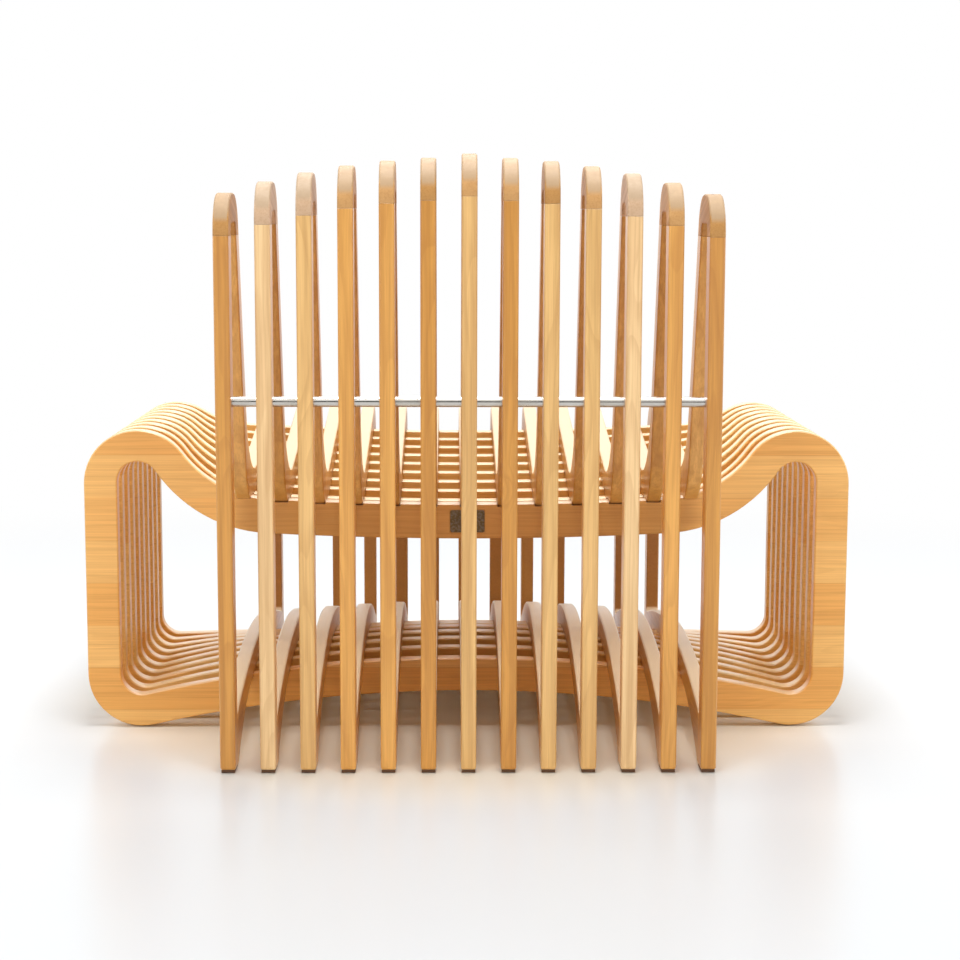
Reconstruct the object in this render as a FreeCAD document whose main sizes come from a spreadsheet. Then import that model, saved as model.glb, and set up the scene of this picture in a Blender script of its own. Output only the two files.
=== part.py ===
import FreeCAD, Part
import Sketcher
import os
from math import atan2, cos, hypot, radians, sin, sqrt, tan

# Lounge chair of interlocked boards
#
# Thirteen side frames stand on edge from front to back. Ten cross ribs stand
# on edge from side to side. A frame's seat bar and floor arch both lie over
# the ribs, so the rings of the two families are linked and notched together.
# The chair faces -Y. The origin is on the floor, midway in width and depth.
# Distances called "forward" are measured from the rear face of the rear posts.

doc = FreeCAD.newDocument("LoungeChair")

# Driving dimensions in millimetres and degrees
SIZES = [
    # whole chair
    ("overall_height", 766.0),
    ("overall_depth", 746.0),
    ("overall_width", 1026.0),
    ("board_thickness", 19.0),
    ("edge_break", 1.6),
    ("fit_clearance", 0.25),
    ("glue_gap", 0.15),
    ("cut_overrun", 10.0),
    # rows of boards
    ("outer_frame_inset", 141.0),
    ("first_rib_forward", 231.0),
    ("last_rib_inset", 119.0),
    # side frames
    ("crown_radius", 1040.0),
    ("middle_frame_lift", 4.0),
    ("post_width", 32.0),
    ("back_width", 30.0),
    ("seat_bar_width", 34.0),
    ("front_leg_width", 32.0),
    ("arch_width", 34.0),
    ("top_radius", 50.0),
    ("top_inner_radius", 12.0),
    ("top_band", 36.0),
    ("top_joint_drop", 52.0),
    ("foot_radius", 5.0),
    ("back_forward_at_top", 92.8),
    ("heel_behind_rib", 7.3),
    ("seat_back_radius", 120.0),
    ("seat_heel_radius", 90.0),
    ("front_radius", 75.0),
    ("front_inner_radius", 43.0),
    ("toe_length", 40.0),
    ("toe_curve_radius", 400.0),
    ("arch_foot_radius", 8.0),
    # where the frames lie on the ribs
    ("seat_angle", 9.0),
    ("front_rib_seat_height", 361.0),
    ("rear_rib_lift", 8.5),
    ("bar_rise", 27.0),
    ("rib_notch_depth", 4.5),
    ("arch_lift", 31.5),
    ("arch_fall", 99.0),
    ("arch_setback", 15.0),
    ("rail_crest", 104.5),
    ("front_rail_fall", 53.0),
    # cross ribs
    ("corner_radius", 72.0),
    ("leg_band", 44.0),
    ("arm_band", 42.0),
    ("seat_band", 47.5),
    ("rail_band", 45.0),
    ("arm_rise", 44.5),
    ("rib_floor_gap", 1.5),
    ("saddle_radius", 5000.0),
    ("saddle_end_radius", 150.0),
    ("saddle_under_radius", 190.0),
    # tie rod
    ("rod_diameter", 13.0),
    ("rod_height", 464.5),
    ("rod_socket_depth", 12.0),
    ("rod_end_chamfer", 1.0),
    # glides
    ("glide_thickness", 4.0),
    ("glide_length", 30.0),
    ("glide_inset", 4.0),
    ("glide_width", 17.0),
    ("glide_round", 1.2),
    # plate on the rearmost rib
    ("plate_width", 46.0),
    ("plate_height", 30.0),
    ("plate_thickness", 1.5),
    ("plate_corner_radius", 3.0),
    ("plate_recess", 0.7),
]

FRAME_COUNT = 13
RIB_COUNT = 10

# Sizes that follow from the others: both rows fill the room left between their ends
FOLLOWING = [
    ("frame_pitch", "=(overall_width / 2 - corner_radius - outer_frame_inset) / %d" % (FRAME_COUNT // 2)),
    ("rib_pitch", "=(overall_depth - last_rib_inset - first_rib_forward) / %d" % (RIB_COUNT - 1)),
]

sheet = doc.addObject("Spreadsheet::Sheet", "Sizes")
for row, (alias, content) in enumerate(SIZES + FOLLOWING, start=1):
    sheet.set("A%d" % row, alias)
    sheet.set("B%d" % row, str(content))
    sheet.setAlias("B%d" % row, alias)
doc.recompute()


def size(alias):
    """Value of one dimension, read from the sheet."""
    return float(sheet.get(alias))


def radius_for(offset, fall):
    """Radius of a circle that falls away from its crest by a given amount at an offset."""
    return (offset ** 2 + fall ** 2) / (2 * fall)


# Values that several pieces share
THICK = size("board_thickness")
HALF_BOARD = THICK / 2
GAP = size("fit_clearance")
OVERRUN = size("cut_overrun")
DEPTH = size("overall_depth")
MID_FORWARD = DEPTH / 2
FLOOR_LEVEL = size("glide_thickness")
CORNER_X = size("overall_width") / 2 - size("corner_radius")
INNER_RADIUS = size("corner_radius") - size("leg_band")
CORNER_Z = size("rib_floor_gap") + size("corner_radius")
ARM_TOP = size("front_rib_seat_height") + size("arm_rise")
ARM_Z = ARM_TOP - size("corner_radius")
ARM_INNER_Z = ARM_TOP - size("arm_band") - INNER_RADIUS
LAST_RIB_FORWARD = DEPTH - size("last_rib_inset")
# the middle frame's floor arch falls by arch_fall over half the depth
ARCH_FORWARD = MID_FORWARD - size("arch_setback")
ARCH_RADIUS = radius_for(MID_FORWARD, size("arch_fall"))
# the ribs' bottom rails fall by front_rail_fall from the arch's crest to the front rib
RAIL_ROW_RADIUS = radius_for(LAST_RIB_FORWARD + HALF_BOARD - ARCH_FORWARD, size("front_rail_fall"))


# Plane geometry on points given as (across, up)

def along(point, direction, distance):
    """Point reached from another by a distance along a unit direction."""
    return (point[0] + direction[0] * distance, point[1] + direction[1] * distance)


def unit(start, end):
    """Unit direction from one point to another."""
    length = hypot(end[0] - start[0], end[1] - start[1])
    return ((end[0] - start[0]) / length, (end[1] - start[1]) / length)


def crossing(point, direction, other_point, other_direction):
    """Point where two lines cross, each given by a point and a direction."""
    spread = direction[0] * other_direction[1] - direction[1] * other_direction[0]
    offset = (other_point[0] - point[0], other_point[1] - point[1])
    distance = (offset[0] * other_direction[1] - offset[1] * other_direction[0]) / spread
    return along(point, direction, distance)


def circles_meet(centre, radius, other, other_radius, side):
    """One of the two points where circles meet; side is -1 or +1 across the line of centres."""
    gap = hypot(other[0] - centre[0], other[1] - centre[1])
    reach = (radius ** 2 - other_radius ** 2 + gap ** 2) / (2 * gap)
    height = sqrt(radius ** 2 - reach ** 2)
    direction = unit(centre, other)
    foot = along(centre, direction, reach)
    return along(foot, (-direction[1], direction[0]), side * height)


def touch(centre, radius, other):
    """Point where a circle touches another circle whose centre is given."""
    return along(centre, unit(centre, other), radius)


def line(start, end):
    return ("line", start, end)


def arc(centre, start, end):
    """Arc under a half circle."""
    return ("arc", start, end, centre)


def rounded(start, corner, end, radius):
    """Arc that rounds a corner between two straight runs, with its two ends."""
    inward = unit(start, corner)
    outward = unit(corner, end)
    turn = atan2(inward[0] * outward[1] - inward[1] * outward[0],
                 inward[0] * outward[0] + inward[1] * outward[1])
    reach = radius * tan(abs(turn) / 2)
    first = along(corner, inward, -reach)
    last = along(corner, outward, reach)
    side = 1 if turn > 0 else -1
    centre = along(first, (-inward[1], inward[0]), side * radius)
    return first, last, arc(centre, first, last)


def round_path(corners):
    """Lines and arcs through (point, radius) corners; the first and last have no radius."""
    pieces = []
    here = corners[0][0]
    for place in range(1, len(corners) - 1):
        point, radius = corners[place]
        following = corners[place + 1][0]
        if radius == 0:
            pieces.append(line(here, point))
            here = point
            continue
        first, last, bend = rounded(here, point, following, radius)
        pieces.append(line(here, first))
        pieces.append(bend)
        here = last
    pieces.append(line(here, corners[-1][0]))
    return pieces


def moved(pieces, change):
    """The same run of pieces with every point put through a change of place."""
    return [(piece[0],) + tuple(change(point) for point in piece[1:]) for piece in pieces]


def turned_round(pieces):
    """The same run of pieces, drawn from its end to its start."""
    return [(piece[0], piece[2], piece[1]) + piece[3:] for piece in reversed(pieces)]


def mirrored(pieces):
    """The same run of pieces on the other side of the middle, in closing order."""
    return turned_round(moved(pieces, lambda point: (-point[0], point[1])))


def to_curve(piece):
    """Sketch curve for one line or arc."""
    start = FreeCAD.Vector(piece[1][0], piece[1][1], 0)
    end = FreeCAD.Vector(piece[2][0], piece[2][1], 0)
    if piece[0] == "line":
        return Part.LineSegment(start, end)
    centre = FreeCAD.Vector(piece[3][0], piece[3][1], 0)
    radius = start.distanceToPoint(centre)
    outward = start + end - centre * 2
    outward.normalize()
    return Part.Arc(start, centre + outward * radius, end)


# Bodies, sketches, pads and pockets

def new_body(label):
    body = doc.addObject("PartDesign::Body", label)
    body.Label = label
    return body


def new_sketch(body, name, plane_role, pieces):
    """Sketch of closed runs of pieces on one of the body's own planes."""
    sketch = body.newObject("Sketcher::SketchObject", name)
    for feature in body.Origin.OriginFeatures:
        if feature.Role == plane_role:
            sketch.AttachmentSupport = [(feature, "")]
    sketch.MapMode = "FlatFace"
    sketch.addGeometry([to_curve(piece) for piece in pieces], False)
    return sketch


def both_sides(feature):
    """Makes a pad or pocket run evenly to both sides of its sketch."""
    feature.SideType = "Symmetric"


def pad_board(body, name, plane_role, pieces):
    """Board of the common thickness, centred on its sketch plane."""
    sketch = new_sketch(body, name + "_outline", plane_role, pieces)
    pad = body.newObject("PartDesign::Pad", name + "_board")
    pad.Profile = sketch
    both_sides(pad)
    pad.setExpression("Length", "Sizes.board_thickness")
    sketch.Visibility = False
    doc.recompute()
    return pad


def break_edges(body, name, base, axis, keep_sharp):
    """Chamfers the long edges of both board faces, except those on joint faces."""
    names = []
    for number, edge in enumerate(base.Shape.Edges, start=1):
        middle = edge.CenterOfMass
        offset = middle.x if axis == "x" else middle.y
        if abs(abs(offset) - HALF_BOARD) > GAP:
            continue
        if keep_sharp(edge):
            continue
        names.append("Edge%d" % number)
    chamfer = body.newObject("PartDesign::Chamfer", name + "_edges")
    chamfer.Base = (base, names)
    chamfer.setExpression("Size", "Sizes.edge_break")
    doc.recompute()
    return chamfer


def cut_through(body, name, plane_role, pieces):
    """Pocket through the whole board; fails if it takes nothing away."""
    before = body.Shape.Volume
    sketch = new_sketch(body, name + "_sketch", plane_role, pieces)
    pocket = body.newObject("PartDesign::Pocket", name)
    pocket.Profile = sketch
    both_sides(pocket)
    pocket.setExpression("Length", "2 * Sizes.board_thickness")
    sketch.Visibility = False
    doc.recompute()
    if body.Shape.Volume >= before:
        raise ValueError(name + " cut nothing from " + body.Label)
    return pocket


def rectangle(left, right, low, high):
    corners = [(left, low), (right, low), (right, high), (left, high)]
    return [line(corners[place], corners[(place + 1) % 4]) for place in range(4)]


# Places of the boards

def frame_across(number):
    """Distance of a side frame's middle plane from the chair's middle."""
    return (number - (FRAME_COUNT + 1) / 2) * size("frame_pitch")


def rib_forward(number):
    """Distance forward of a rib's rear face."""
    return size("first_rib_forward") + (number - 1) * size("rib_pitch")


def to_y(forward):
    return MID_FORWARD - forward


def sag(radius, offset):
    """How far a circle falls away from its crest at an offset."""
    return radius - sqrt(radius ** 2 - offset ** 2)


# Heights that the two families of boards share

def seat_line(forward):
    """Height of the ribs' seat surface at the middle of the chair."""
    return size("front_rib_seat_height") + (forward - LAST_RIB_FORWARD) * tan(radians(size("seat_angle")))


def rib_seat_height(number):
    """Lowest height of one rib's seat edge; the rearmost rib follows the turn into the back."""
    lift = size("rear_rib_lift") if number == 1 else 0
    return seat_line(rib_forward(number)) + lift


def saddle_arc_centre(number):
    """Centre of the arc that joins a rib's shallow saddle to its arm."""
    base = (0, rib_seat_height(number) + size("saddle_radius"))
    reach = size("saddle_radius") - size("saddle_end_radius")
    arm = (CORNER_X, ARM_Z)
    return circles_meet(arm, size("corner_radius") + size("saddle_end_radius"), base, reach, 1)


def rib_seat_at(number, across):
    """Height of one rib's seat edge at a distance from the middle."""
    centre = saddle_arc_centre(number)
    base = (0, rib_seat_height(number) + size("saddle_radius"))
    change = touch(base, size("saddle_radius"), centre)[0]
    if abs(across) <= change:
        return rib_seat_height(number) + sag(size("saddle_radius"), across)
    return centre[1] - sqrt(size("saddle_end_radius") ** 2 - (abs(across) - centre[0]) ** 2)


def rail_height(number):
    """Height of one rib's bottom rail at the middle; the rails follow the frames' floor arch."""
    offset = rib_forward(number) + HALF_BOARD - ARCH_FORWARD
    return size("rail_crest") - sag(RAIL_ROW_RADIUS, offset)


def rail_radius(crest, corner):
    """Radius of a rail's arch that touches the corner circles at both sides."""
    fall = CORNER_Z - crest
    return (CORNER_X ** 2 + fall ** 2 - corner ** 2) / (2 * (corner - fall))


def rail_at(crest, across):
    """Height of a bottom rail's upper edge at a distance from the middle."""
    return crest - sag(rail_radius(crest, INNER_RADIUS), across)


# Cross ribs

def rib_outer_half(number):
    """Right half of a rib's outer edge, from the floor side to the seat."""
    under = rail_height(number) - size("rail_band")
    radius = rail_radius(under, size("corner_radius"))
    rail_centre = (0, under - radius)
    corner = (CORNER_X, CORNER_Z)
    arm = (CORNER_X, ARM_Z)
    base = (0, rib_seat_height(number) + size("saddle_radius"))
    saddle = saddle_arc_centre(number)
    rail_end = touch(rail_centre, radius, corner)
    leg_low = (CORNER_X + size("corner_radius"), CORNER_Z)
    leg_high = (CORNER_X + size("corner_radius"), ARM_Z)
    arm_end = touch(arm, size("corner_radius"), saddle)
    saddle_end = touch(base, size("saddle_radius"), saddle)
    return [
        arc(rail_centre, (0, under), rail_end),
        arc(corner, rail_end, leg_low),
        line(leg_low, leg_high),
        arc(arm, leg_high, arm_end),
        arc(saddle, arm_end, saddle_end),
        arc(base, saddle_end, (0, rib_seat_height(number))),
    ]


def rib_inner_half(number):
    """Right half of a rib's opening, from under the seat to the bottom rail."""
    under = rib_seat_height(number) - size("seat_band")
    base_radius = size("saddle_radius") + size("seat_band")
    base = (0, under + base_radius)
    arm = (CORNER_X, ARM_INNER_Z)
    corner = (CORNER_X, CORNER_Z)
    saddle = circles_meet(arm, INNER_RADIUS + size("saddle_under_radius"),
                          base, base_radius - size("saddle_under_radius"), 1)
    crest = rail_height(number)
    radius = rail_radius(crest, INNER_RADIUS)
    rail_centre = (0, crest - radius)
    saddle_start = touch(base, base_radius, saddle)
    arm_start = touch(arm, INNER_RADIUS, saddle)
    leg_high = (CORNER_X + INNER_RADIUS, ARM_INNER_Z)
    leg_low = (CORNER_X + INNER_RADIUS, CORNER_Z)
    corner_end = touch(corner, INNER_RADIUS, rail_centre)
    return [
        arc(base, (0, under), saddle_start),
        arc(saddle, saddle_start, arm_start),
        arc(arm, arm_start, leg_high),
        line(leg_high, leg_low),
        arc(corner, leg_low, corner_end),
        arc(rail_centre, corner_end, (0, crest)),
    ]


def rib_notches(number):
    """Notches in the seat edge and in the bottom rail, one pair for each side frame."""
    pieces = []
    half = HALF_BOARD + GAP
    for frame in range(1, FRAME_COUNT + 1):
        across = frame_across(frame)
        for level in (rib_seat_at(number, across), rail_at(rail_height(number), across)):
            floor = level - size("rib_notch_depth")
            pieces += rectangle(across - half, across + half, floor, level + OVERRUN)
    return pieces


def make_rib(number):
    label = "cross_rib_%02d" % number
    body = new_body(label)
    outer = rib_outer_half(number)
    inner = rib_inner_half(number)
    pieces = outer + mirrored(outer) + inner + mirrored(inner)
    board = pad_board(body, label, "XZ_Plane", pieces)
    break_edges(body, label, board, "y", lambda edge: False)
    cut_through(body, label + "_notches", "XZ_Plane", rib_notches(number))
    if number == 1:
        cut_plate_recess(body)
    body.setExpression("Placement.Base.y", "Sizes.overall_depth / 2 - Sizes.first_rib_forward"
                       " - %d * Sizes.rib_pitch - Sizes.board_thickness / 2" % (number - 1))
    return body


def plate_middle():
    """Height of the plate's middle, halfway up the rearmost rib's seat band."""
    return rib_seat_height(1) - size("seat_band") / 2


def cut_plate_recess(body):
    """Shallow seat for the plate in the rear face of the rearmost rib."""
    before = body.Shape.Volume
    half_width = size("plate_width") / 2 + GAP
    half_height = size("plate_height") / 2 + GAP
    middle = plate_middle()
    pieces = rectangle(-half_width, half_width, middle - half_height, middle + half_height)
    sketch = new_sketch(body, "plate_recess_sketch", "XZ_Plane", pieces)
    sketch.setExpression("AttachmentOffset.Base.z",
                         "Sizes.plate_recess - Sizes.board_thickness / 2")
    pocket = body.newObject("PartDesign::Pocket", "plate_recess_cut")
    pocket.Profile = sketch
    pocket.setExpression("Length", "Sizes.plate_recess + Sizes.fit_clearance")
    sketch.Visibility = False
    doc.recompute()
    if body.Shape.Volume >= before:
        pocket.Reversed = True
        doc.recompute()
    if body.Shape.Volume >= before:
        raise ValueError("the plate's recess cut nothing")


# Side frames

def back_lean():
    """Lean of the backs, from their place at the top to where they meet the seat."""
    foot = size("first_rib_forward") - size("heel_behind_rib")
    rise = size("overall_height") - seat_line(foot) - size("bar_rise")
    return atan2(foot - size("back_forward_at_top"), rise)


class Frame:
    """Lines and levels of one side frame, in (forward, up) points."""

    def __init__(self, number):
        self.number = number
        self.across = frame_across(number)
        self.top = size("overall_height") - sag(size("crown_radius"), self.across)
        if self.across != 0:
            self.top -= size("middle_frame_lift")
        self.joint = self.top - size("top_joint_drop")
        lean = back_lean()
        self.down_back = (sin(lean), -cos(lean))
        self.back_front = (size("back_forward_at_top"), size("overall_height"))
        self.back_rear = along(self.back_front, (-cos(lean), -sin(lean)), size("back_width"))
        slope = radians(size("seat_angle"))
        self.seat_forward = (cos(slope), sin(slope))
        rise = size("bar_rise") + sag(size("saddle_radius"), self.across)
        self.seat_top = (LAST_RIB_FORWARD, seat_line(LAST_RIB_FORWARD) + rise)
        self.seat_under = along(self.seat_top, (sin(slope), -cos(slope)), size("seat_bar_width"))
        spread = 1 - (self.across / CORNER_X) ** 2
        self.arch_radius = ARCH_RADIUS / spread
        crest = rail_at(size("rail_crest"), self.across) + size("arch_lift")
        self.arch_centre = (ARCH_FORWARD, crest - self.arch_radius)

    def back_at(self, point, height):
        """Point of a back face at a height."""
        return crossing(point, self.down_back, (0, height), (1, 0))

    def arch_at(self, forward):
        """Height of the arch's upper edge."""
        return self.arch_centre[1] + sqrt(self.arch_radius ** 2 - (forward - ARCH_FORWARD) ** 2)

    def arch_start(self):
        return (size("post_width") + size("glue_gap"), self.arch_at(size("post_width") + size("glue_gap")))


def to_sketch(pieces):
    """Turns (forward, up) pieces into the frame's own plane, rear at +Y."""
    return moved(pieces, lambda point: (to_y(point[0]), point[1]))


def to_front(point):
    """The same place on the front foot, mirrored about the middle of the depth."""
    return (DEPTH - point[0], point[1])


def toe_curve(arch_centre, under_radius):
    """Run from the rear foot's flat, round its toe and up to the arch's underside."""
    toe = (size("toe_length"), FLOOR_LEVEL)
    curve_radius = size("toe_curve_radius")
    centre = circles_meet(arch_centre, under_radius - curve_radius, toe, curve_radius, -1)
    radius = size("foot_radius")
    level = FLOOR_LEVEL + radius
    across = centre[0] - sqrt((curve_radius + radius) ** 2 - (level - centre[1]) ** 2)
    turn = (across, level)
    flat = (across, FLOOR_LEVEL)
    toe_round = touch(turn, radius, centre)
    under = touch(arch_centre, under_radius, centre)
    return [arc(turn, flat, toe_round), arc(centre, toe_round, under)]


def loop_outline(frame):
    """Back, seat bar, front leg, feet and floor arch as one bent board."""
    joint = frame.joint - size("glue_gap")
    back_front = frame.back_at(frame.back_front, joint)
    back_rear = frame.back_at(frame.back_rear, joint)
    seat_corner = crossing(frame.back_front, frame.down_back, frame.seat_top, frame.seat_forward)
    front_corner = crossing(frame.seat_top, frame.seat_forward, (DEPTH, 0), (0, 1))
    heel_corner = crossing(frame.back_rear, frame.down_back, frame.seat_under, frame.seat_forward)
    inner_front = DEPTH - size("front_leg_width")
    knee_corner = crossing(frame.seat_under, frame.seat_forward, (inner_front, 0), (0, 1))
    arch_start = frame.arch_start()
    # the front leg runs into the arch through a small round
    turn_x = inner_front - size("arch_foot_radius")
    turn_reach = frame.arch_radius + size("arch_foot_radius")
    arch_turn = (turn_x, frame.arch_centre[1] + sqrt(turn_reach ** 2 - (turn_x - ARCH_FORWARD) ** 2))
    arch_end = touch(arch_turn, size("arch_foot_radius"), frame.arch_centre)
    leg_end = (inner_front, arch_turn[1])
    # the underside of the arch turns down to the toe of each foot
    under_radius = frame.arch_radius - size("arch_width")
    rear_toe = toe_curve(frame.arch_centre, under_radius)
    front_toe = moved(toe_curve(to_front(frame.arch_centre), under_radius), to_front)
    outer = round_path([
        (back_front, 0),
        (seat_corner, size("seat_back_radius")),
        (front_corner, size("front_radius")),
        ((DEPTH, FLOOR_LEVEL), size("foot_radius")),
        (front_toe[0][1], 0),
    ])
    between = arc(frame.arch_centre, front_toe[1][2], rear_toe[1][2])
    underside = front_toe + [between] + turned_round(rear_toe)
    heel_end = (arch_start[0], FLOOR_LEVEL)
    heel = [line(rear_toe[0][1], heel_end), line(heel_end, arch_start)]
    arch = [arc(frame.arch_centre, arch_start, arch_end), arc(arch_turn, arch_end, leg_end)]
    inner = round_path([
        (leg_end, 0),
        (knee_corner, size("front_inner_radius")),
        (heel_corner, size("seat_heel_radius")),
        (back_rear, 0),
    ])
    return outer + underside + heel + arch + inner + [line(back_rear, back_front)]


def loop_notches(frame):
    """Flat seats under the seat bar and under the arch, one pair for each rib."""
    pieces = []
    for number in range(1, RIB_COUNT + 1):
        rear = rib_forward(number)
        seat = rib_seat_at(number, frame.across)
        rail = rail_at(rail_height(number), frame.across)
        for level in (seat, rail):
            ceiling = level - size("rib_notch_depth") + GAP
            low = ceiling - size("arch_width")
            pieces += rectangle(rear - GAP, rear + THICK + GAP, low, ceiling)
    return pieces


def on_level(edge, level):
    """Whether an edge lies flat at a height."""
    return all(abs(vertex.Z - level) < GAP for vertex in edge.Vertexes)


def make_loop(number):
    frame = Frame(number)
    label = "seat_loop_%02d" % number
    body = new_body(label)
    board = pad_board(body, label, "YZ_Plane", to_sketch(loop_outline(frame)))
    joint = frame.joint - size("glue_gap")
    heel = to_y(frame.arch_start()[0])

    def on_joint(edge):
        upright = all(abs(vertex.Y - heel) < GAP for vertex in edge.Vertexes)
        return on_level(edge, joint) or upright

    break_edges(body, label, board, "x", on_joint)
    cut_through(body, label + "_seats", "YZ_Plane", to_sketch(loop_notches(frame)))
    place_frame_part(body, number)
    return body


def top_outline(frame):
    """Rounded block that joins the rear post to the back."""
    top_front = crossing(frame.back_front, frame.down_back, (0, frame.top), (1, 0))
    ceiling = frame.top - size("top_band")
    inner_front = crossing(frame.back_rear, frame.down_back, (0, ceiling), (1, 0))
    start = (0, frame.joint)
    joint_front = frame.back_at(frame.back_front, frame.joint)
    joint_rear = frame.back_at(frame.back_rear, frame.joint)
    post_front = (size("post_width"), frame.joint)
    outer = round_path([
        (start, 0),
        ((0, frame.top), size("top_radius")),
        (top_front, size("top_radius")),
        (joint_front, 0),
    ])
    inner = round_path([
        (joint_rear, 0),
        (inner_front, size("top_inner_radius")),
        ((size("post_width"), ceiling), size("top_inner_radius")),
        (post_front, 0),
    ])
    return outer + [line(joint_front, joint_rear)] + inner + [line(post_front, start)]


def make_top(number):
    frame = Frame(number)
    label = "top_block_%02d" % number
    body = new_body(label)
    board = pad_board(body, label, "YZ_Plane", to_sketch(top_outline(frame)))
    break_edges(body, label, board, "x", lambda edge: on_level(edge, frame.joint))
    place_frame_part(body, number)
    return body


def make_post(number):
    """Straight rear post with the tie rod's hole."""
    frame = Frame(number)
    label = "rear_post_%02d" % number
    body = new_body(label)
    high = frame.joint - size("glue_gap")
    top = (0, high)
    pieces = round_path([
        (top, 0),
        ((0, FLOOR_LEVEL), size("foot_radius")),
        ((size("post_width"), FLOOR_LEVEL), 0),
        ((size("post_width"), high), 0),
        (top, 0),
    ])
    board = pad_board(body, label, "YZ_Plane", to_sketch(pieces))
    break_edges(body, label, board, "x", lambda edge: on_level(edge, high))
    drill_post(body, label, number)
    place_frame_part(body, number)
    return body


def drill_post(body, label, number):
    """Hole for the rod: right through, or blind from the inner face in the two outer posts."""
    before = body.Shape.Volume
    sketch = body.newObject("Sketcher::SketchObject", label + "_hole_sketch")
    for feature in body.Origin.OriginFeatures:
        if feature.Role == "YZ_Plane":
            sketch.AttachmentSupport = [(feature, "")]
    sketch.MapMode = "FlatFace"
    centre = FreeCAD.Vector(to_y(size("post_width") / 2), size("rod_height"), 0)
    radius = size("rod_diameter") / 2 + GAP / 2
    circle = sketch.addGeometry(Part.Circle(centre, FreeCAD.Vector(0, 0, 1), radius), False)
    sketch.addConstraint(Sketcher.Constraint("Radius", circle, radius))
    sketch.setExpression("Constraints[0]", "(Sizes.rod_diameter + Sizes.fit_clearance) / 2")
    pocket = body.newObject("PartDesign::Pocket", label + "_hole")
    pocket.Profile = sketch
    if 1 < number < FRAME_COUNT:
        both_sides(pocket)
        pocket.setExpression("Length", "2 * Sizes.board_thickness")
    else:
        inward = 1 if number == 1 else -1
        sketch.setExpression("AttachmentOffset.Base.z", "%d * (Sizes.board_thickness / 2"
                             " - Sizes.rod_socket_depth)" % inward)
        pocket.Reversed = number == 1
        pocket.setExpression("Length", "Sizes.board_thickness")
    sketch.Visibility = False
    doc.recompute()
    if body.Shape.Volume >= before:
        raise ValueError("the rod's hole cut nothing from " + label)


def place_frame_part(body, number):
    body.setExpression("Placement.Base.x", "%d * Sizes.frame_pitch"
                       % (number - (FRAME_COUNT + 1) // 2))


# Rod, glides and plate

def make_rod():
    """Polished rod through the posts, its ends a clearance short of the sockets."""
    rod = doc.addObject("Part::Cylinder", "rod_blank")
    rod.setExpression("Radius", "Sizes.rod_diameter / 2")
    half = "(%d * Sizes.frame_pitch - Sizes.board_thickness / 2 + Sizes.rod_socket_depth" \
           " - Sizes.fit_clearance)" % ((FRAME_COUNT - 1) // 2)
    rod.setExpression("Height", "2 * " + half)
    doc.recompute()
    chamfer = doc.addObject("Part::Chamfer", "back_tie_rod")
    chamfer.Label = "back_tie_rod"
    chamfer.Base = rod
    rims = []
    for number, edge in enumerate(rod.Shape.Edges, start=1):
        if len(edge.Vertexes) == 1:
            rims.append((number, size("rod_end_chamfer"), size("rod_end_chamfer")))
    chamfer.Edges = rims
    chamfer.Placement = FreeCAD.Placement(
        FreeCAD.Vector(-rod.Height.Value / 2, to_y(size("post_width") / 2), size("rod_height")),
        FreeCAD.Rotation(FreeCAD.Vector(0, 1, 0), 90))
    doc.recompute()
    return chamfer


def make_glides(label, forward):
    """Thirteen thin pads, one under each foot of a row."""
    pads = []
    length = size("glide_length")
    width = size("glide_width")
    for number in range(1, FRAME_COUNT + 1):
        corner = FreeCAD.Vector(frame_across(number) - width / 2, to_y(forward) - length, 0)
        pad = Part.makeBox(width, length, FLOOR_LEVEL, corner)
        lower = [edge for edge in pad.Edges if on_level(edge, 0)]
        pads.append(pad.makeFillet(size("glide_round"), lower))
    row = doc.addObject("Part::Feature", label)
    row.Label = label
    row.Shape = Part.makeCompound(pads)
    row.Placement = FreeCAD.Placement()
    return row


def make_plate():
    """Blank plate, let a little into the rear face of the rearmost rib."""
    blank = doc.addObject("Part::Box", "plate_blank")
    blank.setExpression("Length", "Sizes.plate_width")
    blank.setExpression("Width", "Sizes.plate_thickness")
    blank.setExpression("Height", "Sizes.plate_height")
    doc.recompute()
    plate = doc.addObject("Part::Fillet", "name_plate")
    plate.Label = "name_plate"
    plate.Base = blank
    corners = []
    for number, edge in enumerate(blank.Shape.Edges, start=1):
        if abs(edge.Vertexes[0].Y - edge.Vertexes[1].Y) > size("plate_recess"):
            corners.append((number, size("plate_corner_radius"), size("plate_corner_radius")))
    plate.Edges = corners
    rear = to_y(size("first_rib_forward"))
    plate.Placement = FreeCAD.Placement(
        FreeCAD.Vector(-size("plate_width") / 2, rear - size("plate_recess"),
                       plate_middle() - size("plate_height") / 2),
        FreeCAD.Rotation())
    doc.recompute()
    return plate


# Build every sub-part

parts = []
for place in range(1, FRAME_COUNT + 1):
    parts.append(make_post(place))
    parts.append(make_top(place))
    parts.append(make_loop(place))
for place in range(1, RIB_COUNT + 1):
    parts.append(make_rib(place))
parts.append(make_rod())
front_glide = DEPTH - size("glide_inset") - size("glide_length")
parts.append(make_glides("rear_foot_glides", size("glide_inset")))
parts.append(make_glides("front_foot_glides", front_glide))
parts.append(make_plate())
doc.recompute()

# Check every object before anything is written
for item in doc.Objects:
    if "Invalid" in item.State or "Error" in item.State:
        raise RuntimeError(item.Name + " did not build: " + str(item.State))
for item in parts:
    if item.Shape.isNull() or not item.Shape.isValid():
        raise RuntimeError(item.Label + " has no valid shape")

os.makedirs("parts", exist_ok=True)
for item in parts:
    item.Shape.exportStep("parts/%s.step" % item.Label)

box = parts[0].Shape.BoundBox
for item in parts:
    box.add(item.Shape.BoundBox)
print("pieces", len(parts), "size", round(box.XLength, 1), round(box.YLength, 1), round(box.ZLength, 1))
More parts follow.
